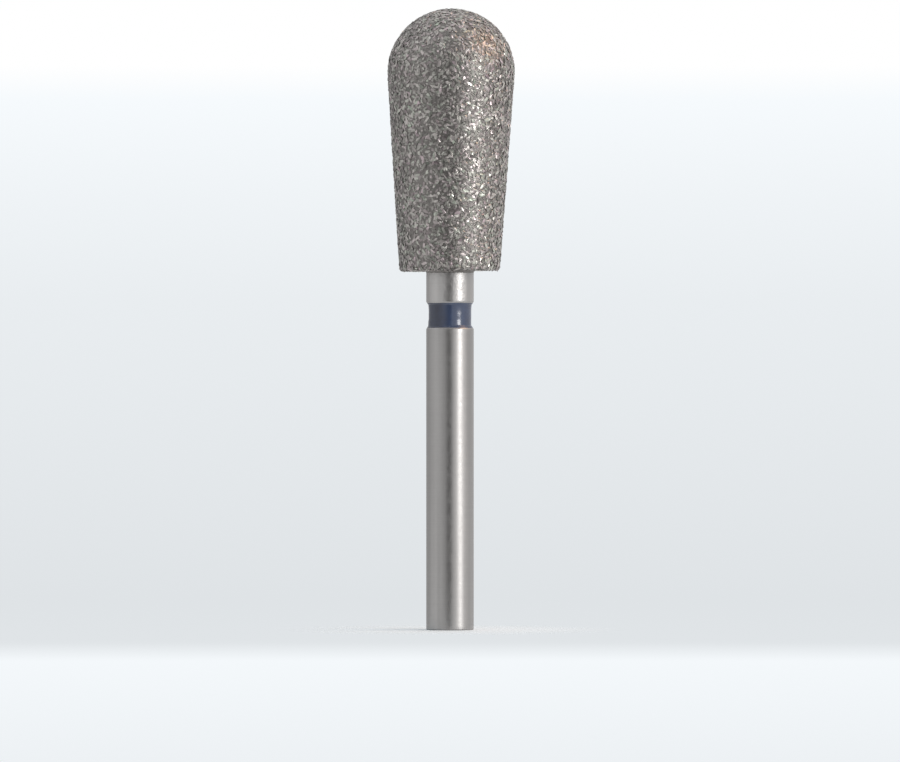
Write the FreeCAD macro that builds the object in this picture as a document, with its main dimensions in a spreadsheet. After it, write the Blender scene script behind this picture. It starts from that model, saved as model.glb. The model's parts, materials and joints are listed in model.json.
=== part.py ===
# A diamond bur for a straight handpiece. It stands on the end of its shank, with the Z axis
# along the bur and the origin at the centre of the end face.
#
# The bur is three pieces: a steel blank turned from one bar (shank, colour groove, neck and
# the core of the head), a crust of diamond grit plated over the core, and a ring of lacquer
# in the groove, whose colour tells the size of the grit.
import FreeCAD, Part
import math
import os
import Sketcher
from FreeCAD import Vector

# Name, value in millimetres (the angle in degrees), what it is.
sizes = [
    ("shank_diameter", 2.35, "diameter of the shank and of the neck"),
    ("shank_length", 14.86, "end face to the edge of the colour groove"),
    ("end_chamfer", 0.05, "lead-in at the end of the shank"),
    ("groove_length", 1.37, "width of the colour groove at its mouth"),
    ("groove_depth", 0.21, "surface of the shank to the floor of the groove"),
    ("groove_bevel", 0.3, "length of each sloping side of the groove"),
    ("mouth_round", 0.08, "rounding where the sides of the groove meet shank and neck"),
    ("neck_length", 1.47, "edge of the groove to the back of the head"),
    ("head_diameter", 6.3, "width over the grit, which is also the diameter of the dome"),
    ("head_length", 13.0, "back of the head to the top of the dome"),
    ("flank_angle", 4.0, "slope of the flank, which narrows towards the neck"),
    ("coat_thickness", 0.16, "bond and grit together"),
    ("rear_round", 0.18, "rounding of the coat at the back of the head"),
    ("bond_bead", 0.1, "radius of the bead of bond where the coat meets the neck"),
    ("lacquer_thickness", 0.07, "lacquer over the floor of the groove, at its thinnest"),
    ("lacquer_hollow", 0.01, "how much the middle of the lacquer is hollowed"),
    ("lacquer_climb", 0.06, "how much it then climbs at each side of the groove"),
    ("lacquer_margin", 0.18, "width of the climbing part"),
]

doc = FreeCAD.newDocument("diamond_bur")
sheet = doc.addObject("Spreadsheet::Sheet", "Sizes")
for row, (name, value, note) in enumerate(sizes, start=1):
    sheet.set("A%d" % row, name)
    sheet.set("B%d" % row, str(value))
    sheet.set("C%d" % row, note)
    sheet.setAlias("B%d" % row, name)
doc.recompute()


# A number that carries its expression, so that whatever is worked out from the cells of the
# sheet stays bound to them.
class Bound:
    def __init__(self, value, text):
        self.value = value
        self.text = text

    def __add__(self, other):
        return Bound(self.value + other.value, "(%s + %s)" % (self.text, other.text))

    def __sub__(self, other):
        return Bound(self.value - other.value, "(%s - %s)" % (self.text, other.text))

    def __mul__(self, other):
        return Bound(self.value * other.value, "(%s * %s)" % (self.text, other.text))

    def __truediv__(self, other):
        return Bound(self.value / other.value, "(%s / %s)" % (self.text, other.text))


def cell(name):
    return Bound(float(sheet.get(name)), "Sizes." + name)


def half(amount):
    return Bound(amount.value / 2, "(%s / 2)" % amount.text)


# Radii.
shank_radius = half(cell("shank_diameter"))
floor_radius = shank_radius - cell("groove_depth")
lacquer_radius = floor_radius + cell("lacquer_thickness")
lacquer_shoulder = lacquer_radius + cell("lacquer_hollow")
lacquer_edge = lacquer_shoulder + cell("lacquer_climb")
coat_radius = half(cell("head_diameter"))
core_radius = coat_radius - cell("coat_thickness")

# Heights over the end of the shank.
groove_low = cell("shank_length")
groove_high = groove_low + cell("groove_length")
floor_low = groove_low + cell("groove_bevel")
floor_high = groove_high - cell("groove_bevel")
lacquer_reach = (lacquer_edge - floor_radius) * cell("groove_bevel") / cell("groove_depth")
lacquer_low = floor_low - lacquer_reach
lacquer_high = floor_high + lacquer_reach
groove_middle = groove_low + half(cell("groove_length"))
coat_back = groove_high + cell("neck_length")
core_back = coat_back + cell("coat_thickness")
dome_centre = coat_back + cell("head_length") - coat_radius

# How a sketch numbers its own axes, and the points of a line or an arc. Its origin is the
# start of its level axis.
UPRIGHT_AXIS, LEVEL_AXIS = range(-2, 0)
START, END, CENTRE = range(1, 4)
ORIGIN = (LEVEL_AXIS, START)

# How close an edge must lie to where it is looked for.
TOLERANCE = 1e-6


# Adds a sketch on the body's upright plane: across is the radius, up is the height.
def add_sketch(body, name):
    sketch = body.newObject("Sketcher::SketchObject", name)
    plane = next(item for item in body.Origin.OriginFeatures if item.Role == "XZ_Plane")
    sketch.AttachmentSupport = (plane, [""])
    sketch.MapMode = "FlatFace"
    return sketch


def add_line(sketch, start, end):
    return sketch.addGeometry(Part.LineSegment(Vector(*start, 0), Vector(*end, 0)), False)


def add_arc(sketch, centre, radius, first_angle, last_angle):
    circle = Part.Circle(Vector(*centre, 0), Vector(0, 0, 1), radius)
    arc = Part.ArcOfCircle(circle, math.radians(first_angle), math.radians(last_angle))
    return sketch.addGeometry(arc, False)


def join(sketch, first, first_point, second, second_point, how="Coincident"):
    sketch.addConstraint(Sketcher.Constraint(how, first, first_point, second, second_point))


# Adds a constraint with a value, and binds the value to its expression.
def hold(sketch, kind, target, amount):
    if kind == "Angle":
        start, text = math.radians(amount.value), "%s * 1 deg" % amount.text
    else:
        start, text = amount.value, amount.text
    index = sketch.addConstraint(Sketcher.Constraint(kind, *target, start))
    sketch.setExpression("Constraints[%d]" % index, text)


def hold_point(sketch, item, point, radius, height):
    hold(sketch, "DistanceX", (*ORIGIN, item, point), radius)
    hold(sketch, "DistanceY", (*ORIGIN, item, point), height)


# Adds a closed loop of lines through corners, each held by its radius and height.
def add_loop(sketch, corners):
    places = [(radius.value, height.value) for radius, height in corners]
    lines = [add_line(sketch, places[i - 1], places[i]) for i in range(len(places))]
    for i, (radius, height) in enumerate(corners):
        join(sketch, lines[i - 1], END, lines[i], START)
        hold_point(sketch, lines[i], END, radius, height)


# Adds the side of the head: a flank that leans out from the back, and the dome that it runs
# into. The dome is centred on the axis. Gives the two, and the places of the far ends.
def add_head_side(sketch, radius, back):
    lean = math.radians(cell("flank_angle").value)
    centre = dome_centre.value
    meet = (radius.value * math.cos(lean), centre - radius.value * math.sin(lean))
    foot = (meet[0] - (meet[1] - back.value) * math.tan(lean), back.value)
    flank = add_line(sketch, foot, meet)
    dome = add_arc(sketch, (0, centre), radius.value, -math.degrees(lean), 90)
    join(sketch, flank, END, dome, START, "Tangent")
    hold(sketch, "Angle", (flank,), Bound(90, "90") - cell("flank_angle"))
    hold(sketch, "Radius", (dome,), radius)
    sketch.addConstraint(Sketcher.Constraint("PointOnObject", dome, CENTRE, UPRIGHT_AXIS))
    hold(sketch, "DistanceY", (*ORIGIN, dome, CENTRE), dome_centre)
    return flank, dome, foot, (0, centre + radius.value)


# Turns a sketch about its vertical axis, to add or to cut.
def turn(body, sketch, kind, name):
    feature = body.newObject(kind, name)
    feature.Profile = sketch
    feature.ReferenceAxis = (sketch, ["V_Axis"])
    feature.Angle = 360
    doc.recompute()
    return feature


# The name of the round edge of a feature that has this radius and height.
def find_edge(feature, radius, height):
    for index, edge in enumerate(feature.Shape.Edges, start=1):
        if edge.Degenerated or not isinstance(edge.Curve, Part.Circle):
            continue
        if math.dist((edge.Curve.Radius, edge.Curve.Center.z), (radius, height)) < TOLERANCE:
            return "Edge%d" % index
    raise RuntimeError("no edge at radius %.3f, height %.3f" % (radius, height))


# The turned blank: the shank, the neck and the core of the head in one profile.
def make_blank():
    body = doc.addObject("PartDesign::Body", "steel_blank")
    sketch = add_sketch(body, "BlankProfile")
    flank, dome, foot, top = add_head_side(sketch, core_radius, core_back)
    shank, back = shank_radius.value, core_back.value
    end_face = add_line(sketch, (0, 0), (shank, 0))
    side = add_line(sketch, (shank, 0), (shank, back))
    shoulder = add_line(sketch, (shank, back), foot)
    axis = add_line(sketch, top, (0, 0))
    join(sketch, end_face, START, *ORIGIN)
    join(sketch, end_face, END, side, START)
    join(sketch, side, END, shoulder, START)
    join(sketch, shoulder, END, flank, START)
    join(sketch, dome, END, axis, START)
    join(sketch, axis, END, end_face, START)
    for kind, line in (("Horizontal", end_face), ("Horizontal", shoulder), ("Vertical", side),
                       ("Vertical", axis)):
        sketch.addConstraint(Sketcher.Constraint(kind, line))
    hold_point(sketch, side, END, shank_radius, core_back)
    blank = turn(body, sketch, "PartDesign::Revolution", "Blank")
    groove = cut_colour_groove(body)
    if groove.Shape.Volume >= blank.Shape.Volume:
        raise RuntimeError("the colour groove cuts nothing")

    rounding = body.newObject("PartDesign::Fillet", "MouthRound")
    mouth = [find_edge(groove, shank, height.value) for height in (groove_low, groove_high)]
    rounding.Base = (groove, mouth)
    rounding.setExpression("Radius", cell("mouth_round").text)
    doc.recompute()

    chamfer = body.newObject("PartDesign::Chamfer", "EndChamfer")
    chamfer.Base = (rounding, [find_edge(rounding, shank, 0)])
    chamfer.setExpression("Size", cell("end_chamfer").text)
    return body


# The groove for the colour: a flat floor between two sloping sides.
def cut_colour_groove(body):
    sketch = add_sketch(body, "GrooveProfile")
    add_loop(sketch, [
        (shank_radius, groove_low),
        (floor_radius, floor_low),
        (floor_radius, floor_high),
        (shank_radius, groove_high),
    ])
    return turn(body, sketch, "PartDesign::Groove", "ColourGroove")


# The diamond crust: a cap of even thickness over the core, closed at the back by a washer of
# the same thickness that ends in a small bead of bond on the neck.
def make_coating():
    body = doc.addObject("PartDesign::Body", "diamond_coating")
    sketch = add_sketch(body, "CrustProfile")
    flank, dome, foot, top = add_head_side(sketch, coat_radius, coat_back)
    core_flank, core_dome, core_foot, core_top = add_head_side(sketch, core_radius, core_back)
    shank, bead_radius = shank_radius.value, cell("bond_bead")
    bead_out, bead_low = shank + bead_radius.value, (coat_back - bead_radius).value
    back = add_line(sketch, (bead_out, coat_back.value), foot)
    tip = add_line(sketch, top, core_top)
    washer = add_line(sketch, core_foot, (shank, core_back.value))
    bore = add_line(sketch, (shank, core_back.value), (shank, bead_low))
    bead = add_arc(sketch, (bead_out, bead_low), bead_radius.value, 90, 180)
    join(sketch, back, END, flank, START)
    join(sketch, dome, END, tip, START)
    join(sketch, tip, END, core_dome, END)
    join(sketch, core_flank, START, washer, START)
    join(sketch, washer, END, bore, START)
    join(sketch, bore, END, bead, END, "Tangent")
    join(sketch, bead, START, back, START, "Tangent")
    for kind, line in (("Horizontal", back), ("Horizontal", washer), ("Vertical", bore),
                       ("Vertical", tip)):
        sketch.addConstraint(Sketcher.Constraint(kind, line))
    sketch.addConstraint(Sketcher.Constraint("PointOnObject", tip, START, UPRIGHT_AXIS))
    hold_point(sketch, bore, START, shank_radius, core_back)
    hold(sketch, "Radius", (bead,), bead_radius)
    hold(sketch, "DistanceY", (*ORIGIN, back, START), coat_back)
    crust = turn(body, sketch, "PartDesign::Revolution", "Crust")

    rounding = body.newObject("PartDesign::Fillet", "RearRound")
    rounding.Base = (crust, [find_edge(crust, foot[0], coat_back.value)])
    rounding.setExpression("Radius", cell("rear_round").text)
    return body


# The colour ring: lacquer that lies on the floor of the groove and wets its sides. Its surface
# is a little hollow and climbs at both sides.
def make_colour_ring():
    body = doc.addObject("PartDesign::Body", "colour_ring")
    sketch = add_sketch(body, "LacquerProfile")
    add_loop(sketch, [
        (floor_radius, floor_low),
        (floor_radius, floor_high),
        (lacquer_edge, lacquer_high),
        (lacquer_shoulder, lacquer_high - cell("lacquer_margin")),
        (lacquer_radius, groove_middle),
        (lacquer_shoulder, lacquer_low + cell("lacquer_margin")),
        (lacquer_edge, lacquer_low),
    ])
    turn(body, sketch, "PartDesign::Revolution", "Lacquer")
    return body


bodies = [make_blank(), make_coating(), make_colour_ring()]
doc.recompute()

for item in doc.Objects:
    if "Invalid" in item.State or "Error" in item.State:
        raise RuntimeError("%s failed: %s" % (item.Label, item.State))
    if item.isDerivedFrom("Sketcher::SketchObject") and not item.FullyConstrained:
        raise RuntimeError("%s is not fully constrained" % item.Label)
for body in bodies:
    if body.Shape.isNull() or not body.Shape.isValid() or len(body.Shape.Solids) != 1:
        raise RuntimeError("%s is not one sound solid" % body.Label)

os.makedirs("parts", exist_ok=True)
for body in bodies:
    body.Shape.exportStep("parts/%s.step" % body.Label)
    box = body.Shape.optimalBoundingBox()
    print("%-16s %8.3f mm3, %.3f wide, from %.3f to %.3f"
          % (body.Label, body.Shape.Volume, box.XLength, box.ZMin, box.ZMax))
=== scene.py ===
# A diamond bur for a straight handpiece: the looks of its steel, its grit and its colour ring.
import json
import math

import bpy
import numpy as np
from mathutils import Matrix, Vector


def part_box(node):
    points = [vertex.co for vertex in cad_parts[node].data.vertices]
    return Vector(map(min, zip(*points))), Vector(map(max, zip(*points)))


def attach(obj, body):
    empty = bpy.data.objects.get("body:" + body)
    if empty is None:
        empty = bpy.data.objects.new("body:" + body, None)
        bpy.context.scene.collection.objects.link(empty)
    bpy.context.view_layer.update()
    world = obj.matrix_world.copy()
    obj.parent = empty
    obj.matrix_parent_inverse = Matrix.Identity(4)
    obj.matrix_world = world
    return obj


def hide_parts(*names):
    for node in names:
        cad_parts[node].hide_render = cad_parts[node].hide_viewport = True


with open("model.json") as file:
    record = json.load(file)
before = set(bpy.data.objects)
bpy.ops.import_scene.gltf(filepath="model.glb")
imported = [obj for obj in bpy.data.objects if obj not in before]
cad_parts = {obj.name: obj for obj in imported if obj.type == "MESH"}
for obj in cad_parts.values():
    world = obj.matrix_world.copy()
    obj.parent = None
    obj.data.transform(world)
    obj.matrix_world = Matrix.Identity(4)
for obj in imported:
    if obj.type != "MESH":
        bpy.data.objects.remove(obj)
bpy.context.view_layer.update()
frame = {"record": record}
random = np.random.default_rng(21)
mm = 0.001  # the sizes of the pieces are in millimetres, and their meshes in metres
tiny = 1e-6  # less than this doesn't count
noiseRange = (0.3, 0.7)  # nearly all values of a noise lie in here


# Rounds the corners of a profile. Each corner is (radius, height, rounding), and becomes an arc
# that touches both of its sides: the arc's ends lie rounding / tan(half the corner's angle)
# from the corner, and its centre lies on the line that halves the angle.
def roundCorners(corners, arcSteps=8):
    places = np.array([corner[:2] for corner in corners], float)
    pieces = [places[:1]]
    for i in range(1, len(corners) - 1):
        rounding = corners[i][2]
        if rounding == 0:
            pieces.append(places[i:i + 1])
            continue
        back, ahead = places[i - 1] - places[i], places[i + 1] - places[i]
        back, ahead = back / np.linalg.norm(back), ahead / np.linalg.norm(ahead)
        halfAngle = math.acos(back @ ahead) / 2
        middle = (back + ahead) / np.linalg.norm(back + ahead)
        centre = places[i] + middle * rounding / math.sin(halfAngle)
        start = places[i] + back * rounding / math.tan(halfAngle) - centre
        end = places[i] + ahead * rounding / math.tan(halfAngle) - centre
        first = math.atan2(start[1], start[0])
        sweep = (math.atan2(end[1], end[0]) - first + math.pi) % (2 * math.pi) - math.pi
        angles = first + sweep * np.linspace(0, 1, arcSteps + 1)
        pieces.append(centre + rounding * np.column_stack([np.cos(angles), np.sin(angles)]))
    pieces.append(places[-1:])
    return np.concatenate(pieces)


# Divides the runs of a profile evenly, so that none is longer than the step.
def divideRuns(profile, step):
    runs = []
    for start, end in zip(profile[:-1], profile[1:]):
        count = max(1, math.ceil(np.linalg.norm(end - start) / step))
        runs.append(start + (end - start) * np.arange(count)[:, None] / count)
    return np.concatenate(runs + [profile[-1:]])


# A dome as radius and height: an arc round the point that lies the radius below the top, from
# the height where the flank ends up to the axis.
def makeDome(radius, top, flankHeight, rings):
    centre = top - radius
    lean = math.asin((centre - flankHeight) / radius)
    angles = np.linspace(-lean, math.pi / 2, rings)[1:]
    dome = np.column_stack([radius * np.cos(angles), centre + radius * np.sin(angles)])
    dome[-1, 0] = 0
    return dome


# The angles of a full turn, divided evenly.
def turnAngles(count):
    return np.arange(count) * 2 * math.pi / count


# Makes a mesh object from arrays in millimetres.
def makePiece(name, vertices, faces, material, smooth=True):
    mesh = bpy.data.meshes.new(name)
    mesh.from_pydata((vertices * mm).tolist(), [], faces)
    mesh.update()
    mesh.materials.append(material)
    if smooth:
        mesh.shade_smooth()
    piece = bpy.data.objects.new(name, mesh)
    bpy.context.scene.collection.objects.link(piece)
    return piece


# Turns rings round the Z axis: x = radius cos(angle), y = radius sin(angle). radius and height
# hold one row for each ring and one column for each angle. The rows run anticlockwise round
# the section, so that the faces point outwards. Either the first and last rings lie on the axis
# and become one point each, or the section is closed and its last ring joins its first. The
# shift is added to x.
def turnRings(name, radius, height, angles, material, closed=False, shift=0):
    rows, columns = radius.shape
    x, y = radius * np.cos(angles) + shift, radius * np.sin(angles)
    vertices = np.stack([x, y, height], axis=-1)
    ring = np.arange(rows * columns).reshape(rows, columns)
    ahead = np.roll(ring, -1, axis=1)
    if closed:
        above, aheadAbove = np.roll(ring, -1, axis=0), np.roll(ahead, -1, axis=0)
        quads = np.stack([ring, ahead, aheadAbove, above], axis=-1).reshape(-1, 4)
        return makePiece(name, vertices.reshape(-1, 3), quads.tolist(), material)
    quads = np.stack([ring[1:-2], ahead[1:-2], ahead[2:-1], ring[2:-1]], axis=-1).reshape(-1, 4)
    quads = quads - columns + 1  # the first ring is one point
    last = (rows - 2) * columns + 1
    low = np.stack([np.zeros(columns, int), ahead[1] - columns + 1, ring[1] - columns + 1], axis=-1)
    high = np.stack([ring[-2] - columns + 1, ahead[-2] - columns + 1, np.full(columns, last)], axis=-1)
    vertices = np.concatenate([vertices[0, :1], vertices[1:-1].reshape(-1, 3), vertices[-1, :1]])
    return makePiece(name, vertices, quads.tolist() + low.tolist() + high.tolist(), material)


# Gives each of a node's inputs a plain value, or the socket that feeds it.
def setInputs(tree, node, inputs):
    for name, value in inputs.items():
        if isinstance(value, bpy.types.NodeSocket):
            tree.links.new(value, node.inputs[name])
        else:
            node.inputs[name].default_value = value


# Adds a node with its settings and its inputs.
def addNode(tree, kind, inputs, **settings):
    node = tree.nodes.new(kind)
    for name, value in settings.items():
        setattr(node, name, value)
    setInputs(tree, node, inputs)
    return node


# Goes from low to high as the value goes from start to end: low + (high - low) times
# (value - start) / (end - start).
def spread(tree, value, start, end, low=0.0, high=1.0, **settings):
    return addNode(tree, "ShaderNodeMapRange", {
        "Value": value,
        "From Min": start,
        "From Max": end,
        "To Min": low,
        "To Max": high,
    }, **settings).outputs["Result"]


# Mixes two plain colours: the first times (1 - share), plus the second times the share.
def mixColours(tree, share, first, second):
    return addNode(tree, "ShaderNodeMix", {
        "Factor": share, "A": (*first, 1), "B": (*second, 1),
    }, data_type="RGBA").outputs[2]


# Roughens a normal by a height between 0 and 1, of which 1 stands for a depth in millimetres.
def addBump(tree, height, depth, **inputs):
    return addNode(tree, "ShaderNodeBump", {
        "Height": height, "Distance": depth * mm, "Strength": 1.0, **inputs,
    }).outputs["Normal"]


# Puts the stops of a colour ramp, each (place, colour).
def setStops(ramp, stops):
    elements = ramp.color_ramp.elements
    while len(elements) < len(stops):
        elements.new(1)
    for element, (place, colour) in zip(elements, stops):
        element.position = place
        element.color = (*colour, 1)


# Gives object coordinates in millimetres, times the three factors.
def stretchPlace(tree, stretch):
    place = addNode(tree, "ShaderNodeTexCoord", {})
    return addNode(tree, "ShaderNodeMapping", {
        "Vector": place.outputs["Object"],
        "Scale": [factor / mm for factor in stretch],
    }).outputs["Vector"]


# Starts a material, and gives it, its tree, its shader and its stretched place.
def startMaterial(name, stretch=(1, 1, 1)):
    material = bpy.data.materials.new(name)
    material.use_nodes = True
    tree = material.node_tree
    return material, tree, tree.nodes["Principled BSDF"], stretchPlace(tree, stretch)


groundSteel = {
    "dark": (0.374, 0.366, 0.361),
    "light": (0.426, 0.418, 0.411),
    "roughness": (0.34, 0.42),
    "lineCount": (0.5, 0.5, 26),  # grinding lines in a millimetre, across and along
    "lineDetail": 4.0,
    "lineSharpness": 0.6,
    "lineBump": 0.0004,  # height of the grinding lines
    "streaks": 0.07,  # how much its lightness differs in faint streaks along it
    "streakCount": (3.4, 3.4, 0.07),  # streaks in a millimetre, across and along
    "neckStart": (16.12, 16.26),  # from here on the steel is left blasted, not ground
    "neckGain": 1.2,  # how much lighter it is there
    "neckLumps": 0.016,  # height of its soft lumps
    "neckLumpCount": 4.5,  # lumps in a millimetre
}


# The steel's colour lies between dark and light by the grinding lines. It is multiplied by a gain
# that rises evenly to the neck's, and by one plus or minus the faint streaks.
def makeSteelMaterial():
    material, tree, shader, drawn = startMaterial("groundSteel", groundSteel["lineCount"])
    lines = addNode(tree, "ShaderNodeTexNoise", {
        "Vector": drawn,
        "Scale": 1.0,
        "Detail": groundSteel["lineDetail"],
        "Roughness": groundSteel["lineSharpness"],
    }).outputs["Fac"]
    place = stretchPlace(tree, (1, 1, 1))
    lumps = addNode(tree, "ShaderNodeTexNoise", {
        "Vector": place, "Scale": groundSteel["neckLumpCount"], "Detail": 2.0,
    }).outputs["Fac"]
    streaks = addNode(tree, "ShaderNodeTexNoise", {
        "Vector": stretchPlace(tree, groundSteel["streakCount"]), "Scale": 1.0, "Detail": 1.0,
    }).outputs["Fac"]
    parts = addNode(tree, "ShaderNodeSeparateXYZ", {"Vector": place})
    neck = spread(tree, parts.outputs["Z"], *groundSteel["neckStart"])
    neckGain = spread(tree, neck, 0.0, 1.0, 1.0, groundSteel["neckGain"])
    difference = groundSteel["streaks"]
    gain = addNode(tree, "ShaderNodeMath", {
        0: neckGain, 1: spread(tree, streaks, *noiseRange, 1 - difference, 1 + difference),
    }, operation="MULTIPLY")
    colour = addNode(tree, "ShaderNodeVectorMath", {
        0: mixColours(tree, lines, groundSteel["dark"], groundSteel["light"]),
        "Scale": gain.outputs["Value"],
    }, operation="SCALE")
    neckLumps = addNode(tree, "ShaderNodeMath", {0: lumps, 1: neck}, operation="MULTIPLY")
    lineNormal = addBump(tree, lines, groundSteel["lineBump"])
    setInputs(tree, shader, {
        "Base Color": colour.outputs["Vector"],
        "Metallic": 1.0,
        "Roughness": spread(tree, lumps, *noiseRange, *groundSteel["roughness"]),
        "Normal": addBump(
            tree, neckLumps.outputs["Value"], groundSteel["neckLumps"], Normal=lineNormal,
        ),
    })
    return material


blank = {
    "shankRadius": frame["record"]["mounts"][0]["dims"]["r_mm"],
    "endRound": 0.05,
    "grooveLow": 14.86,
    "grooveHigh": 16.205,
    "floorRadius": 0.965,
    "bevel": 0.3,
    "mouthRound": 0.05,
    "floorRound": 0.03,
    "backHeight": 17.86,
    "backRadius": 2.3197,
    "flankTop": (2.9827, 27.3414),
    "turns": 192,
    "step": 0.15,  # no ring of the mesh lies further from the next
    "domeRings": 24,
}


# The outline of the steel: the end, the shank, the groove, the neck, the head's core.
def steelProfile():
    shank, floor, bevel = blank["shankRadius"], blank["floorRadius"], blank["bevel"]
    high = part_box("steel_blank")[1]
    corners = [
        (0, 0, 0),
        (shank, 0, blank["endRound"]),
        (shank, blank["grooveLow"], blank["mouthRound"]),
        (floor, blank["grooveLow"] + bevel, blank["floorRound"]),
        (floor, blank["grooveHigh"] - bevel, blank["floorRound"]),
        (shank, blank["grooveHigh"], blank["mouthRound"]),
        (shank, blank["backHeight"], 0),
        (blank["backRadius"], blank["backHeight"], 0),
        (*blank["flankTop"], 0),
    ]
    lower = divideRuns(roundCorners(corners), blank["step"])
    dome = makeDome(high.x / mm, high.z / mm, blank["flankTop"][1], blank["domeRings"])
    return np.concatenate([lower, dome])


# The steel is its outline, turned round the axis.
def makeSteel():
    profile = steelProfile()
    angles = turnAngles(blank["turns"])
    radius = np.repeat(profile[:, :1], len(angles), axis=1)
    height = np.repeat(profile[:, 1:], len(angles), axis=1)
    steel = turnRings("steelBlank", radius, height, angles, makeSteelMaterial())
    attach(steel, "root")
    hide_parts("steel_blank")


lacquer = {
    "dark": (0.030, 0.031, 0.049),
    "light": (0.058, 0.085, 0.158),
    # Painted light and shade, each (x, share of the light blue): most just right of the middle, least
    # on the left.
    "paintedLightStops": ((-1.0, 0.55), (-0.6, 0.32), (0.1, 0.75), (0.45, 0.72), (0.75, 0.5), (1.0, 0.34)),
    "cloudShare": 0.5,  # how much the blue is cloudy
    "cloudCount": 2.2,  # clouds in a millimetre
    "roughness": 0.5,
    "coatRoughness": 0.195,
    "coatBend": 1.6,  # its index of refraction
    "bump": 0.0015,  # height of its unevenness
    "radius": 1.05,
    "flare": 0.04,  # how much the lacquer climbs towards its upper edge
    "flat": 3,  # a high power keeps the middle of the band flat
    "film": 0.008,  # how thick it is on the bevels
    "sag": 0.06,  # how much thicker it is at the bottom, where it ran down
    "sagTop": 15.26,  # where the thicker part starts
    "sagWidth": 0.05,  # how softly it starts
    "sagSlope": 0.15,  # how much it grows downwards
    "sagTurn": 205,  # degrees: on this side it sags most, and on the other not at all
    "swell": 0.0035,  # a faint swelling above it
    "swellHeight": 15.53,
    "swellReach": 0.16,
    "low": 14.91,
    "high": 16.15,
    "waver": 0.006,  # how unevenly its edges run
    # The waves of both edges, each (waves in a turn, share of the waver, start).
    "lowWaves": ((3, 1, 0.4), (7, 0.6, 2)),
    "highWaves": ((4, 0.6, 1.1), (9, 0.36, 0)),
    "bead": 0.02,  # a bulge low on the side where it sags
    "beadHeight": 15.22,
    "beadReach": 0.11,
    "beadFocus": 4,  # a high power keeps it on that side
    "flatTurn": 291,  # degrees: a hair flatter on this side
    "flatDepth": 0.005,
    "flatReach": 12.6,  # degrees
    "edgeSunk": 0.002,  # how far its edges lie in the steel
    "backSunk": 0.01,  # how far its back lies in the steel
    "backIn": 0.1,  # how far its back ends from its edges
    "turns": 192,
    "rings": 48,
    "crease": 20,  # edges are left sharp where the faces meet at more degrees
}


# The lacquer's colour lies between dark and light by a share that the stops give for x, which paints
# light and shade across the band. Clouds add to that share, or take from it, up to half of their own
# share.
def makeLacquerMaterial():
    material, tree, shader, place = startMaterial("blueLacquer")
    cloud = addNode(tree, "ShaderNodeTexNoise", {
        "Vector": place, "Scale": lacquer["cloudCount"], "Detail": 3.0,
    }).outputs["Fac"]
    parts = addNode(tree, "ShaderNodeSeparateXYZ", {"Vector": place})
    radius, cloudShare = lacquer["radius"], lacquer["cloudShare"]
    # painted light and shade: lighter just right of the middle, darker on the left
    side = addNode(tree, "ShaderNodeValToRGB", {
        "Fac": spread(tree, parts.outputs["X"], -radius, radius),
    })
    setStops(side, [
        ((x / radius + 1) / 2, [share - cloudShare / 2] * 3) for x, share in lacquer["paintedLightStops"]
    ])
    share = addNode(tree, "ShaderNodeMath", {
        0: cloud, 1: cloudShare, 2: side.outputs["Color"],
    }, operation="MULTIPLY_ADD").outputs["Value"]
    normal = addBump(tree, cloud, lacquer["bump"])
    setInputs(tree, shader, {
        "Base Color": mixColours(tree, share, lacquer["dark"], lacquer["light"]),
        "Roughness": lacquer["roughness"],
        "Specular IOR Level": 0.0,
        "Coat Weight": 1.0,
        "Coat IOR": lacquer["coatBend"],
        "Coat Roughness": lacquer["coatRoughness"],
        "Normal": normal,
        "Coat Normal": normal,
    })
    return material


# Adds up waves round the ring, each the share times sin(count angle + start).
def addWaves(angles, waves):
    return sum(share * np.sin(count * angles + start) for count, share, start in waves)


# A bell: e to the power of minus the square of the distance from the middle over the reach.
def makeBell(value, middle, reach):
    return np.exp(-((value - middle) / reach) ** 2)


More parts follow.
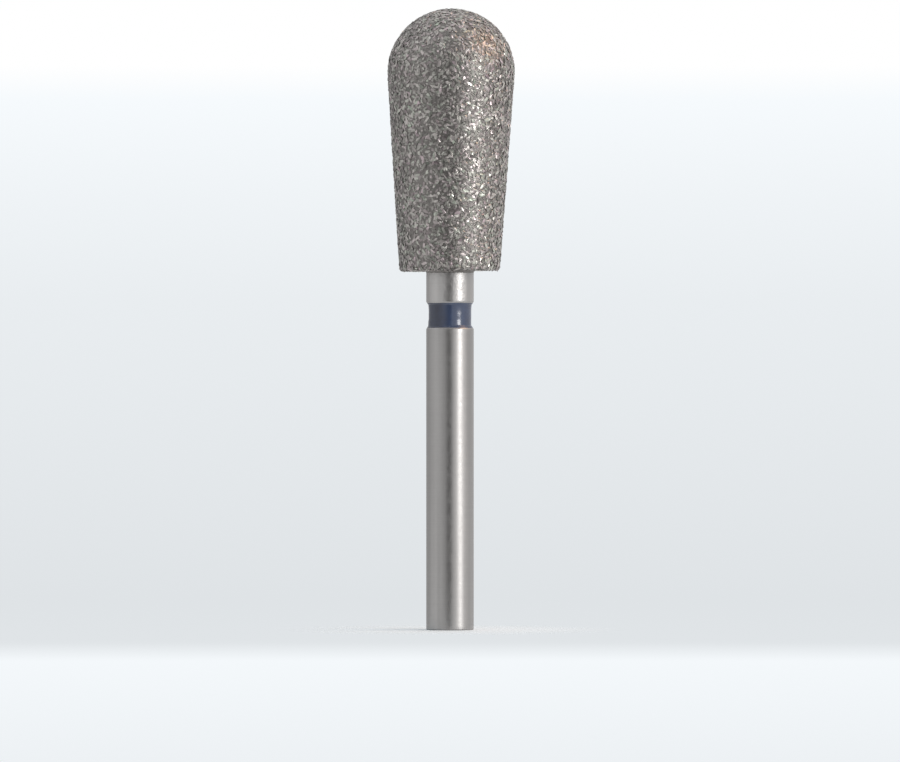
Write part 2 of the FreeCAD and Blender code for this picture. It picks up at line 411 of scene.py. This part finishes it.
# The lacquer: above the middle its face climbs by the flare times the distance from the middle to
# a power, and on both bevels it is a film. Below the sag's top it also grows downwards, as the
# soft ramp width ln(1 + e^(depth / width)) times the slope, but at most by the sag, and by a share
# that follows the cosine of the angle. A bell of the height swells it a little above that, another
# adds the bead on the side where it sags, and a bell of the angle makes one side flatter. The back
# of the ring lies on the groove.
def makeLacquer():
    angles = turnAngles(lacquer["turns"])
    low = lacquer["low"] + lacquer["waver"] * addWaves(angles, lacquer["lowWaves"])
    high = lacquer["high"] + lacquer["waver"] * addWaves(angles, lacquer["highWaves"])
    along = np.linspace(-1, 1, lacquer["rings"])[:, None]
    height = (low + high) / 2 + along * (high - low) / 2
    side = (1 + np.cos(angles - math.radians(lacquer["sagTurn"]))) / 2
    bulge = makeBell(height, lacquer["beadHeight"], lacquer["beadReach"])
    bead = lacquer["bead"] * side ** lacquer["beadFocus"] * bulge
    depth = (lacquer["sagTop"] - height) / lacquer["sagWidth"]
    ramp = lacquer["sagSlope"] * lacquer["sagWidth"] * np.log1p(np.exp(depth))
    sag = side * np.minimum(ramp, lacquer["sag"])
    swell = lacquer["swell"] * makeBell(height, lacquer["swellHeight"], lacquer["swellReach"])
    climb = lacquer["flare"] * np.maximum(along, 0) ** lacquer["flat"]
    aside = makeBell(np.degrees(angles), lacquer["flatTurn"], lacquer["flatReach"])
    flat = lacquer["flatDepth"] * aside
    radius = lacquer["radius"] + climb + sag + swell + bead - flat
    shank, floor, bevel = blank["shankRadius"], blank["floorRadius"], blank["bevel"]
    slope = (shank - floor) / bevel
    ground = np.maximum(floor, np.maximum(
        shank - slope * (height - blank["grooveLow"]),
        shank - slope * (blank["grooveHigh"] - height),
    ))
    radius = np.maximum(radius, ground + lacquer["film"])
    radius[[0, -1]] = ground[[0, -1]] - lacquer["edgeSunk"]
    inner = np.full((2, len(angles)), floor - lacquer["backSunk"])
    innerHeight = np.stack([high - lacquer["backIn"], low + lacquer["backIn"]])
    band = turnRings(
        "colourRing",
        np.concatenate([radius, inner]),
        np.concatenate([height, innerHeight]),
        angles,
        makeLacquerMaterial(),
        closed=True,
    )
    band.data.set_sharp_from_angle(angle=math.radians(lacquer["crease"]))
    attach(band, "root")
    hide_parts("colour_ring")


crust = {
    "back": 17.7,
    "footRadius": 2.49,
    "rearRound": 0.18,
    "bead": 0.1,  # radius of the bead on the neck
    "beadRings": 7,
    "flankTop": (3.1423, 27.3303),
    "sunk": 0.032,  # how far the bond lies under the tips of the grit
    "spacing": 0.145,
    "shake": 0.3,  # how far the grains lie off their even places, as a share of the spacing
    "topGap": 0.001,  # no middle of a grain lies nearer to the top
    "size": (0.08, 0.125),  # from the middle of a grain to its corners, before it is drawn out
    "shape": (1.75, 0.78, 0.78),  # how far it is drawn out along its own three directions
    "cornerShake": (0.2, 0.16, 0.12),  # how much its corners differ in turn, in rise and in reach
    "flatness": 0.23,  # how thick a grain is across the crust, as a share of its width
    "shinyFlatness": 0.36,  # the same for the few with shiny faces
    "tip": (-0.03, 0.014),  # where its outermost corner lies, over the even face of the crust
    "lift": 0.06,  # how much higher the back of the head ends on one side
    "liftReach": 0.7,  # how far up the flank that can be seen
    "lean": (-0.02, 0.077),  # how far the crust lies to that side, at the back and at the top
    "flankLow": 18.0,  # the grains below this belong to the back
    "turns": 192,
    "step": 0.06,  # no ring of the mesh lies further from the next
    "domeRings": 90,
}


# The outer face of the crust, from the neck over the back and the flank to the top of the dome.
# Gives rows of radius, height and the two parts of the normal.
def crustProfile():
    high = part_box("diamond_coating")[1]
    corners = [
        (blank["shankRadius"], crust["back"], 0),
        (crust["footRadius"], crust["back"], crust["rearRound"]),
        (*crust["flankTop"], 0),
    ]
    lower = divideRuns(roundCorners(corners), crust["step"])
    dome = makeDome(high.x / mm, high.z / mm, crust["flankTop"][1], crust["domeRings"])
    profile = np.concatenate([lower, dome])
    along = np.gradient(profile, axis=0)
    along /= np.linalg.norm(along, axis=1)[:, None]
    return profile, np.column_stack([along[:, 1], -along[:, 0]])


# How the crust differs from an even one. On the +X side the back of the head ends higher: the
# lift follows the cosine of the angle, and fades out evenly up the flank. The crust also leans
# evenly to that side, from the back to the top. Gives the move in x and in z.
def unevenCrust(x, y, height):
    over = height - crust["back"]
    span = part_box("diamond_coating")[1].z / mm - crust["back"]
    side = (1 + x / np.maximum(np.hypot(x, y), tiny)) / 2
    lift = crust["lift"] * side * np.clip(1 - over / crust["liftReach"], 0, 1)
    return np.interp(over, [0, span], crust["lean"]), lift


bondLooks = {
    "dark": (0.145, 0.137, 0.130),
    "light": (0.275, 0.261, 0.249),
    "fineness": 9.0,  # lumps in a millimetre
    "bump": 0.04,  # height of the lumps
    "roughness": 0.38,
}


# The bond's colour lies between dark and light by its lumps.
def makeBondMaterial():
    material, tree, shader, place = startMaterial("platedBond")
    lumps = addNode(tree, "ShaderNodeTexNoise", {
        "Vector": place, "Scale": bondLooks["fineness"], "Detail": 3.0,
    }).outputs["Fac"]
    setInputs(tree, shader, {
        "Base Color": mixColours(tree, lumps, bondLooks["dark"], bondLooks["light"]),
        "Metallic": 1.0,
        "Roughness": bondLooks["roughness"],
        "Normal": addBump(tree, lumps, bondLooks["bump"]),
    })
    return material


# The bond that holds the grains: a closed shell a little under the even face of the crust, over
# the core of the head, with a bead where it ends on the neck.
def makeBond():
    outer, normal = crustProfile()
    outer = outer - normal * crust["sunk"]
    onBack = outer[:, 1] < blank["backHeight"]
    outer = outer[~onBack | (outer[:, 0] > blank["shankRadius"] + crust["bead"])]
    outer[-1, 0] = 0
    back = outer[0, 1]
    angles = np.linspace(math.pi, math.pi / 2, crust["beadRings"])
    beadCentre = (blank["shankRadius"] + crust["bead"], back - crust["bead"])
    bead = np.column_stack([
        beadCentre[0] + crust["bead"] * np.cos(angles),
        beadCentre[1] + crust["bead"] * np.sin(angles),
    ])
    coreProfile = steelProfile()
    core = coreProfile[coreProfile[:, 1] >= blank["backHeight"] - tiny][::-1]
    profile = np.concatenate([core, bead, outer])
    angles = turnAngles(crust["turns"])
    radius = np.repeat(profile[:, :1], len(angles), axis=1)
    height = np.repeat(profile[:, 1:], len(angles), axis=1)
    outside = np.arange(len(profile))[:, None] >= len(core) + len(bead)
    lean, lift = unevenCrust(np.cos(angles), np.sin(angles), height)
    bond = turnRings(
        "platedBond",
        radius,
        height + outside * lift,
        angles,
        makeBondMaterial(),
        shift=outside * lean,
    )
    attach(bond, "root")
    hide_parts("diamond_coating")


gritColour = {
    "middle": (0.374, 0.355, 0.338),
    "toneSpread": 0.32,  # how much the grains differ in lightness
    "toneMost": 1.5,  # how much lighter than the middle one the lightest are
    "pinkSpread": 0.028,  # how much they lean to pink or to green
    "roughness": (0.28, 0.44),
    "shinyShare": 0.09,  # how many of the grains have clean, shiny faces
    "shinyRoughness": (0.16, 0.26),
    "frost": 0.12,  # how much the roughness differs within a grain
    "frostCount": 5.0,  # frosted spots in a millimetre
    "fineness": 7.0,  # lumps in a millimetre
    "bump": 0.01,  # height of the lumps
    "metallic": 0.8,
    "lightest": 0.9,  # no part of a grain's colour is lighter
}


# A grain brings its own colour and roughness. The roughness is multiplied by one plus or minus
# the frost.
def makeGritMaterial():
    material, tree, shader, place = startMaterial("diamondGrit")
    own = addNode(tree, "ShaderNodeAttribute", {}, attribute_name="grainColour")
    spots = addNode(tree, "ShaderNodeTexNoise", {
        "Vector": place, "Scale": gritColour["frostCount"], "Detail": 2.0,
    }).outputs["Fac"]
    frost = gritColour["frost"]
    roughness = addNode(tree, "ShaderNodeMath", {
        0: own.outputs["Alpha"], 1: spread(tree, spots, *noiseRange, 1 - frost, 1 + frost),
    }, operation="MULTIPLY")
    lumps = addNode(tree, "ShaderNodeTexNoise", {
        "Vector": place, "Scale": gritColour["fineness"], "Detail": 2.0,
    }).outputs["Fac"]
    setInputs(tree, shader, {
        "Base Color": own.outputs["Color"],
        "Metallic": gritColour["metallic"],
        "Roughness": roughness.outputs["Value"],
        "Normal": addBump(tree, lumps, gritColour["bump"]),
    })
    return material


# The lengths along a profile from its start to each of its points.
def measureAlong(profile):
    steps = np.linalg.norm(np.diff(profile, axis=0), axis=1)
    return np.concatenate([[0], np.cumsum(steps)])


# Places grains evenly over the crust: the place along the profile grows with the area covered
# so far, and each grain lies a golden angle further round than the last. Both are then shaken.
# Gives their places, the normals there, and how far along the profile they lie.
def placeGrains():
    profile, normal = crustProfile()
    along = measureAlong(profile)
    areas = math.pi * (profile[1:, 0] + profile[:-1, 0]) * np.diff(along)
    area = np.concatenate([[0], np.cumsum(areas)])
    count = int(area[-1] / crust["spacing"] ** 2)
    order = np.arange(count)
    distance = np.interp((order + 0.5) / count * area[-1], area, along)
    shake = crust["shake"] * crust["spacing"]
    distance += random.normal(0, shake, count)
    distance = np.clip(distance, crust["bead"], along[-1] - crust["topGap"])
    radius = np.interp(distance, along, profile[:, 0])
    height = np.interp(distance, along, profile[:, 1])
    outward = np.interp(distance, along, normal[:, 0])
    upward = np.interp(distance, along, normal[:, 1])
    turn = order * math.pi * (3 - math.sqrt(5))
    turn += random.normal(0, shake, count) / np.maximum(radius, crust["spacing"])
    places = np.column_stack([radius * np.cos(turn), radius * np.sin(turn), height])
    normals = np.column_stack([outward * np.cos(turn), outward * np.sin(turn), upward])
    return places, normals, distance


# A grain is a cube whose eight corners are shaken. It is drawn out along one of its directions,
# turned at random and pressed flat across the crust, and its highest corner is put at the height
# of its tip. Gives the corners of the grains, and which of them are shiny.
def shapeGrains(places, normals):
    count = len(places)
    turnShake, riseShake, reachShake = crust["cornerShake"]
    turn = np.array([0, 1, 2, 3, 0, 1, 2, 3]) * math.pi / 2
    rise = np.array([1, 1, 1, 1, -1, -1, -1, -1]) * math.atan(math.sqrt(0.5))
    turn = turn + random.normal(0, turnShake, (count, 8))
    rise = rise + random.normal(0, riseShake, (count, 8))
    reach = 1 + random.normal(0, reachShake, (count, 8))
    corners = np.stack([
        reach * np.cos(rise) * np.cos(turn),
        reach * np.cos(rise) * np.sin(turn),
        reach * np.sin(rise),
    ], axis=-1) * crust["shape"]
    spin = random.normal(size=(count, 4))
    w, x, y, z = (spin / np.linalg.norm(spin, axis=1)[:, None]).T
    turned = np.stack([
        np.stack([1 - 2 * (y * y + z * z), 2 * (x * y - w * z), 2 * (x * z + w * y)], axis=-1),
        np.stack([2 * (x * y + w * z), 1 - 2 * (x * x + z * z), 2 * (y * z - w * x)], axis=-1),
        np.stack([2 * (x * z - w * y), 2 * (y * z + w * x), 1 - 2 * (x * x + y * y)], axis=-1),
    ], axis=1)
    size = random.uniform(*crust["size"], count)
    shiny = random.random(count) < gritColour["shinyShare"]
    flatness = np.where(shiny, crust["shinyFlatness"], crust["flatness"])
    corners = np.einsum("gij,gkj->gki", turned, corners) * size[:, None, None]
    across = np.einsum("gkj,gj->gk", corners, normals)
    corners -= across[:, :, None] * (1 - flatness[:, None, None]) * normals[:, None]
    highest = np.einsum("gkj,gj->gk", corners, normals).max(axis=1)
    lift = random.uniform(*crust["tip"], count) - highest
    vertices = places[:, None] + normals[:, None] * lift[:, None, None] + corners
    lean, raised = unevenCrust(*places.T)
    vertices[:, :, 0] += lean[:, None]
    vertices[:, :, 2] += raised[:, None]
    return vertices, shiny


# A grain's tone is e to the power of a random number, and at most the limit. Its colour is the
# tone times the middle colour. The part of pink is added to red, taken from green, and half of it
# is added to blue. The fourth part of the colour holds the grain's roughness.
def colourGrains(shiny):
    count = len(shiny)
    tone = np.exp(random.normal(0, gritColour["toneSpread"], count))
    tone = np.minimum(tone, gritColour["toneMost"])
    pink = random.normal(0, gritColour["pinkSpread"], count)
    tint = np.column_stack([1 + pink, 1 - pink, 1 + pink / 2])
    colours = np.outer(tone, gritColour["middle"]) * tint
    roughness = np.where(
        shiny,
        random.uniform(*gritColour["shinyRoughness"], count),
        random.uniform(*gritColour["roughness"], count),
    )
    return np.column_stack([np.clip(colours, 0, gritColour["lightest"]), roughness])


# Makes the grains of the back, of the flank and of the dome, each as a piece of its own. Their
# six faces are left unsmoothed.
def makeGrains():
    places, normals, distance = placeGrains()
    vertices, shiny = shapeGrains(places, normals)
    colours = colourGrains(shiny)
    quarter = np.arange(4)
    ahead = (quarter + 1) % 4
    sides = np.stack([quarter, 4 + quarter, 4 + ahead, ahead], axis=-1)
    faces = np.concatenate([sides, [[0, 1, 2, 3], [7, 6, 5, 4]]])
    profile = crustProfile()[0]
    lengths = measureAlong(profile)
    flankStart = np.interp(crust["flankLow"], profile[:, 1], lengths)
    domeStart = np.interp(crust["flankTop"][1], profile[:, 1], lengths)
    material = makeGritMaterial()
    zones = [
        ("backGrit", distance < flankStart),
        ("flankGrit", (distance >= flankStart) & (distance < domeStart)),
        ("domeGrit", distance >= domeStart),
    ]
    for name, chosen in zones:
        number = int(chosen.sum())
        indices = (faces[None] + 8 * np.arange(number)[:, None, None]).reshape(-1, 4)
        corners = vertices[chosen].reshape(-1, 3)
        grains = makePiece(name, corners, indices.tolist(), material, smooth=False)
        attribute = grains.data.attributes.new("grainColour", "FLOAT_COLOR", "POINT")
        attribute.data.foreach_set("color", np.repeat(colours[chosen], 8, axis=0).ravel())
        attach(grains, "root")
        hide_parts("diamond_coating")
        print("%s: %d grains" % (name, number))


studio = {
    "distance": 0.6,  # metres from the bur to the lamps and the card
    "ambient": 0.85,  # level of the light from all round
    "ambientTilt": 0.6,  # how much more of it comes from the right than from the left
    # The mirrored room's colour, from straight below (0) to straight above (1).
    "room": (
        (0.0, (0.88, 0.88, 0.88)),
        (0.35, (0.74, 0.74, 0.74)),
        (0.6, (0.74, 0.74, 0.745)),
        (1.0, (0.9, 0.9, 0.92)),
    ),
    "slope": 0.045,  # how much lighter the room is on its left, and darker on its right
    "dimTurn": -140,  # the room is dimmer on this side, behind the bur to its left
    "dimStart": 0.75,  # the cosine of how far from that side it starts
    "dimLevel": 0.68,
    "glowReach": 38,  # degrees round the key lamp, where the room is lighter
    "glowLevel": 0.2,
    "cardTurns": (-33, -6, 10),  # degrees: where the card starts, where it is dark, where it ends
    "cardColour": (0.01, 0.01, 0.01),
    "cardRoughness": 0.9,
}

# The lamps. All but the level and the colour are degrees seen from the bur: the turn goes to the
# right from the camera, and the rise goes up from the horizon.
lamps = {
    "keyLamp": {
        "turn": 50.5,
        "rise": 8,
        "width": 14,
        "height": 12,
        "level": 11.4,
        "colour": (1, 0.985, 0.965),
    },
    "warmLamp": {
        "turn": 88,
        "rise": 40,
        "width": 34,
        "height": 34,
        "level": 1.25,
        "colour": (1, 0.56, 0.28),
    },
}

# The backdrop is a gradient, each (row of the picture, colour).
backdropRows = [
    (66, (255, 255, 255)),
    (100, (246, 250, 253)),
    (200, (239, 243, 246)),
    (300, (233, 237, 240)),
    (400, (230, 234, 237)),
    (600, (223, 227, 230)),
    (642, (224, 228, 231)),
    (660, (244, 248, 251)),
    (762, (237, 241, 244)),
]

# The camera and its picture.
view = {
    "distance": 0.43,  # metres
    "height": 0.01229,  # metres
    "lens": 348,  # millimetres
    "sensor": 36,
    "width": 900,  # pixels
    "rows": 762,
    "nearest": 0.01,
    "furthest": 10,
}


# The light of an sRGB colour, whose parts go up to 255. As that standard says, a share up to
# 0.04045 is divided by 12.92, and a larger one is (share + 0.055) / 1.055, to the power of 2.4.
def linear(colour):
    parts = np.array(colour) / 255
    return tuple(np.where(parts <= 0.04045, parts / 12.92, ((parts + 0.055) / 1.055) ** 2.4))


# How much a direction rises over the horizon in a row of the picture: the rows from the middle up
# to it, over the lens in pixels.
def rowRise(row):
    pixels = view["lens"] / view["sensor"] * view["width"]
    return (view["rows"] / 2 - row) / pixels


# The place at a turn to the right from the camera's direction, and at a rise over the horizon,
# seen from the middle of the bur. Gives it, and the direction to it.
def studioPlace(turn, rise):
    turn, rise = math.radians(turn), math.radians(rise)
    middle = Vector((0, 0, view["height"]))
    x, y = math.sin(turn) * math.cos(rise), -math.cos(turn) * math.cos(rise)
    away = Vector((x, y, math.sin(rise)))
    return middle + away * studio["distance"], away


# How near a direction is to the one at a turn and a rise: the cosine of the angle between them.
def nearness(tree, direction, turn, rise):
    return addNode(tree, "ShaderNodeVectorMath", {
        0: direction, 1: studioPlace(turn, rise)[1],
    }, operation="DOT_PRODUCT").outputs["Value"]


# What is seen is the backdrop. What is mirrored is the room, whose level is the dimming times
# the slope, plus the glow round the key lamp. All else is lit by the ambient light, which grows
# evenly from left to right.
def makeWorld():
    world = bpy.data.worlds.new("studio")
    bpy.context.scene.world = world
    world.use_nodes = True
    tree = world.node_tree
    tree.nodes.clear()
    direction = addNode(tree, "ShaderNodeTexCoord", {}).outputs["Generated"]
    parts = addNode(tree, "ShaderNodeSeparateXYZ", {"Vector": direction})
    across, up = parts.outputs["X"], parts.outputs["Z"]
    reach = rowRise(0)
    backdrop = addNode(tree, "ShaderNodeValToRGB", {"Fac": spread(tree, up, -reach, reach)})
    setStops(backdrop, [
        ((rowRise(row) + reach) / (2 * reach), linear(colour))
        for row, colour in reversed(backdropRows)
    ])
    room = addNode(tree, "ShaderNodeValToRGB", {"Fac": spread(tree, up, -1.0, 1.0)})
    setStops(room, studio["room"])
    nearDim = nearness(tree, direction, studio["dimTurn"], 0)
    dim = spread(tree, nearDim, studio["dimStart"], 1.0, 1.0, studio["dimLevel"])
    slope = spread(tree, across, -1.0, 1.0, 1 + studio["slope"], 1 - studio["slope"])
    nearKey = nearness(tree, direction, lamps["keyLamp"]["turn"], lamps["keyLamp"]["rise"])
    glowStart = math.cos(math.radians(studio["glowReach"]))
    glow = spread(tree, nearKey, glowStart, 1.0, 0.0, studio["glowLevel"])
    level = addNode(tree, "ShaderNodeMath", {0: dim, 1: slope, 2: glow}, operation="MULTIPLY_ADD")
    least, most = (studio["ambient"] * (1 + sign * studio["ambientTilt"]) for sign in (-1, 1))
    seen = addNode(tree, "ShaderNodeBackground", {
        "Color": backdrop.outputs["Color"], "Strength": 1.0,
    })
    mirrored = addNode(tree, "ShaderNodeBackground", {
        "Color": room.outputs["Color"], "Strength": level.outputs["Value"],
    })
    light = addNode(tree, "ShaderNodeBackground", {
        "Color": (1, 1, 1, 1), "Strength": spread(tree, across, -1.0, 1.0, least, most),
    })
    rays = addNode(tree, "ShaderNodeLightPath", {})
    unseen = addNode(tree, "ShaderNodeMixShader", {
        0: rays.outputs["Is Glossy Ray"], 1: light.outputs[0], 2: mirrored.outputs[0],
    })
    shown = addNode(tree, "ShaderNodeMath", {
        0: rays.outputs["Is Camera Ray"], 1: rays.outputs["Is Transmission Ray"],
    }, operation="MAXIMUM")
    both = addNode(tree, "ShaderNodeMixShader", {
        0: shown.outputs["Value"], 1: unseen.outputs[0], 2: seen.outputs[0],
    })
    addNode(tree, "ShaderNodeOutputWorld", {"Surface": both.outputs[0]})


# Adds a lamp that looks as many degrees wide and high as given: its sides are 2 distance
# tan(degrees / 2). Its power is 4 times its area times its level.
def addLamp(name, turn, rise, width, height, level, colour):
    place, away = studioPlace(turn, rise)
    lamp = bpy.data.lights.new(name, "AREA")
    lamp.shape = "RECTANGLE"
    lamp.size = 2 * studio["distance"] * math.tan(math.radians(width / 2))
    lamp.size_y = 2 * studio["distance"] * math.tan(math.radians(height / 2))
    lamp.energy = 4 * lamp.size * lamp.size_y * level
    lamp.color = colour
    holder = bpy.data.objects.new(name, lamp)
    bpy.context.scene.collection.objects.link(holder)
    holder.location = place
    holder.rotation_euler = away.to_track_quat("Z", "Y").to_euler()
    holder.visible_camera = False


# The card is see-through where it starts, and from there its density grows evenly up to where
# it is dark.
def makeDarkCard():
    start, dark, end = (studioPlace(turn, 0)[0] for turn in studio["cardTurns"])
    up = Vector((0, 0, studio["distance"]))
    corners = [start - up, end - up, end + up, start + up]
    material, tree, shader, place = startMaterial("darkCard")
    parts = addNode(tree, "ShaderNodeSeparateXYZ", {"Vector": place})
    setInputs(tree, shader, {
        "Base Color": (*studio["cardColour"], 1),
        "Roughness": studio["cardRoughness"],
        "Specular IOR Level": 0.0,
        "Alpha": spread(tree, parts.outputs["X"], start.x / mm, dark.x / mm),
    })
    card = makePiece("darkCard", np.array(corners) / mm, [[0, 1, 2, 3]], material, smooth=False)
    card.visible_camera = False


floorLooks = {
    "radius": 60,
    "below": 0.002,  # how far it lies under the end of the shank
    "solid": 2,  # up to this radius it hides the backdrop
    "fade": 9,  # and at this one it has faded out
    "colour": (0.87, 0.935, 0.985),
    "roughness": 0.7,
    "shine": 0.2,
    "cloudCount": 0.3,  # clouds in a millimetre
    "cloudShade": 0.98,
    "turns": 96,
    "rings": 20,
}


# The floor: a disc of rings whose radius grows evenly. It fades out into the backdrop as a smooth
# step of the distance.
def makeFloor():
    material, tree, shader, place = startMaterial("paleFloor")
    reach = addNode(tree, "ShaderNodeVectorMath", {0: place}, operation="LENGTH")
    alpha = spread(
        tree, reach.outputs["Value"], floorLooks["solid"], floorLooks["fade"], 1.0, 0.0,
        interpolation_type="SMOOTHSTEP",
    )
    cloud = addNode(tree, "ShaderNodeTexNoise", {
        "Vector": place, "Scale": floorLooks["cloudCount"],
    }).outputs["Fac"]
    shade = [part * floorLooks["cloudShade"] for part in floorLooks["colour"]]
    setInputs(tree, shader, {
        "Base Color": mixColours(tree, cloud, floorLooks["colour"], shade),
        "Roughness": floorLooks["roughness"],
        "Specular IOR Level": floorLooks["shine"],
        "Alpha": alpha,
    })
    angles = turnAngles(floorLooks["turns"])
    radius = np.linspace(0, floorLooks["radius"], floorLooks["rings"])[1:, None]
    x, y = radius * np.cos(angles), radius * np.sin(angles)
    rings = np.stack([x, y, np.zeros_like(x)], axis=-1).reshape(-1, 3)
    vertices = np.concatenate([np.zeros((1, 3)), rings]) - (0, 0, floorLooks["below"])
    index = 1 + np.arange(len(radius) * len(angles)).reshape(len(radius), -1)
    ahead = np.roll(index, -1, axis=1)
    quads = np.stack([index[:-1], index[1:], ahead[1:], ahead[:-1]], axis=-1).reshape(-1, 4)
    fan = np.stack([np.zeros(len(angles), int), index[0], ahead[0]], axis=-1)
    floor = makePiece("floor", vertices, quads.tolist() + fan.tolist(), material, smooth=False)


# The camera stands before the bur at its height, and looks level along +Y.
def makeCamera():
    data = bpy.data.cameras.new("camera")
    data.lens = view["lens"]
    data.sensor_width = view["sensor"]
    data.clip_start = view["nearest"]
    data.clip_end = view["furthest"]
    camera = bpy.data.objects.new("camera", data)
    bpy.context.scene.collection.objects.link(camera)
    camera.location = (0, -view["distance"], view["height"])
    camera.rotation_euler = (math.pi / 2, 0, 0)
    bpy.context.scene.camera = camera


makeSteel()
print("steel done")
makeLacquer()
print("lacquer done")
makeBond()
print("bond done")
makeGrains()
print("grit done")
makeFloor()
makeDarkCard()
makeWorld()
for name, lamp in lamps.items():
    addLamp(name, **lamp)
makeCamera()
bpy.context.scene.view_settings.view_transform = "Standard"
print("studio done")
